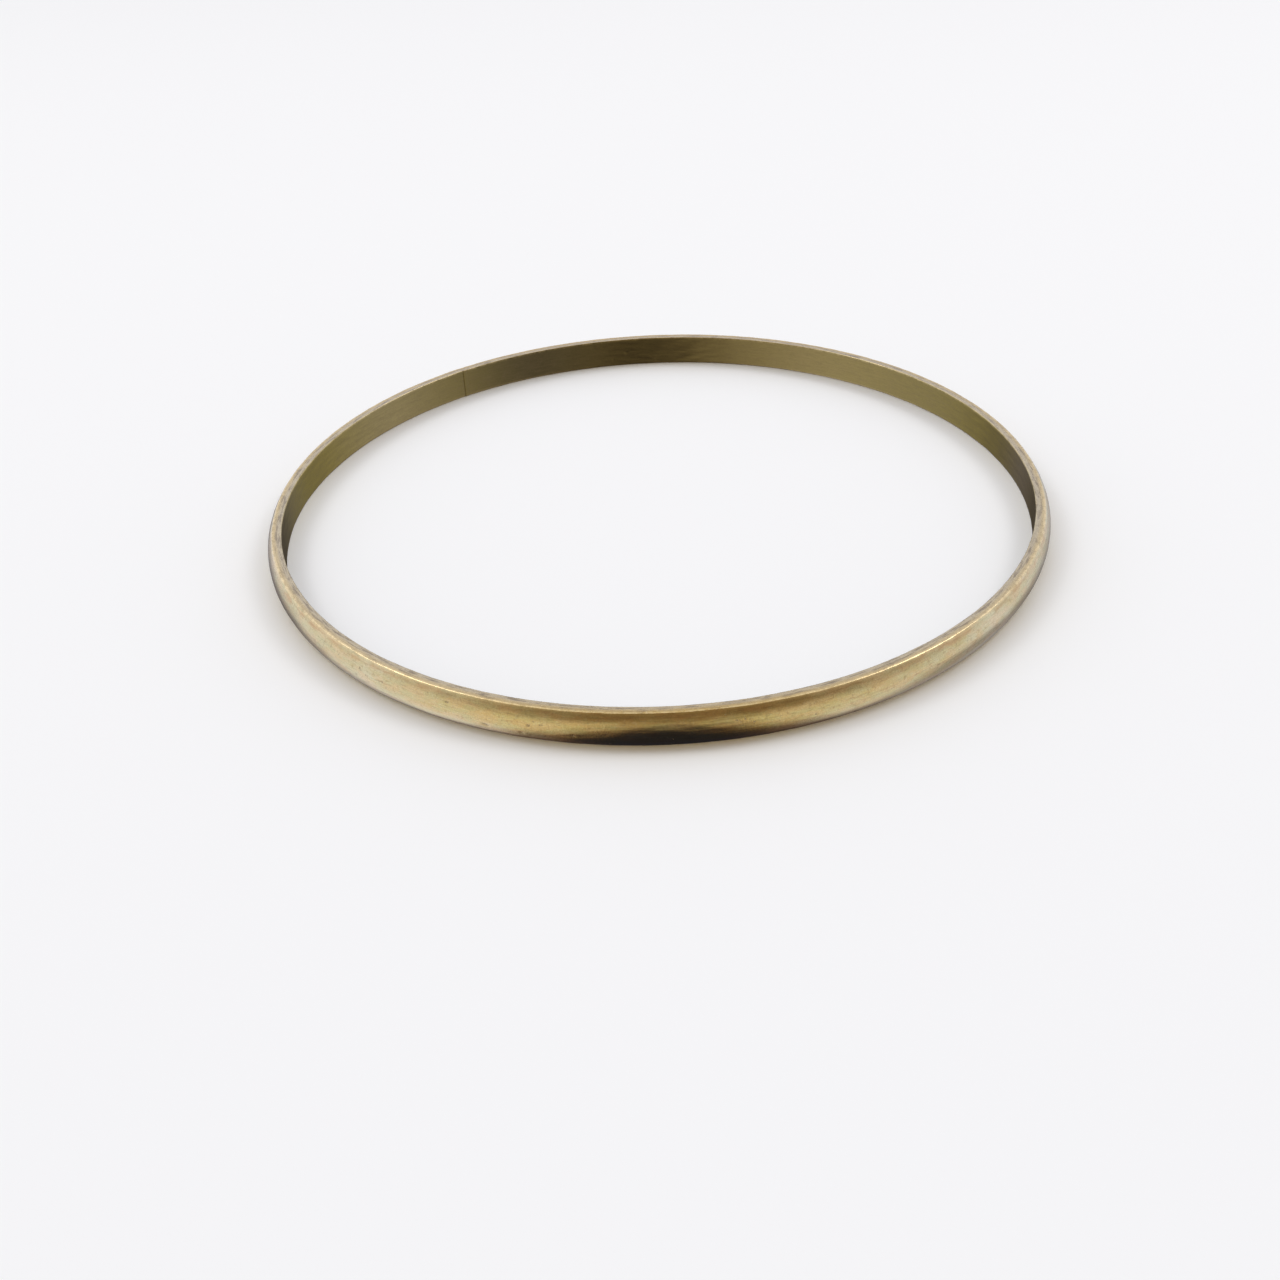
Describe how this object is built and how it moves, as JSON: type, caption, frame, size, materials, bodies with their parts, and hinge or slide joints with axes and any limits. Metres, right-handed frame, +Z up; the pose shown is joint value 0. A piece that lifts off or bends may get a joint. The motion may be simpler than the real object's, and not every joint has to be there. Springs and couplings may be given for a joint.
{
  "type": "bangle bracelet",
  "caption": "Plain closed bangle: a narrow half-round brass band, flat inside and domed outside, with flat rims and a soldered joint.",
  "frame": {"origin": "on the ring's axis, at the height of the lower rim that the bangle lies on", "axes": "+Z up through the opening; +Y away from the usual viewer, who stands on the -Y side; the soldered joint is back left, 126 degrees from +X towards +Y"},
  "size_m": [0.0676, 0.0676, 0.0029],
  "materials": {
    "aged_brass": "satin, antiqued brown in the hollows and worn bright on the edges",
    "hard_solder": "satin, filed flush"
  },
  "bodies": {
    "root": {"band": "aged_brass", "solder_seam": "hard_solder"}
  },
  "joints": []
}
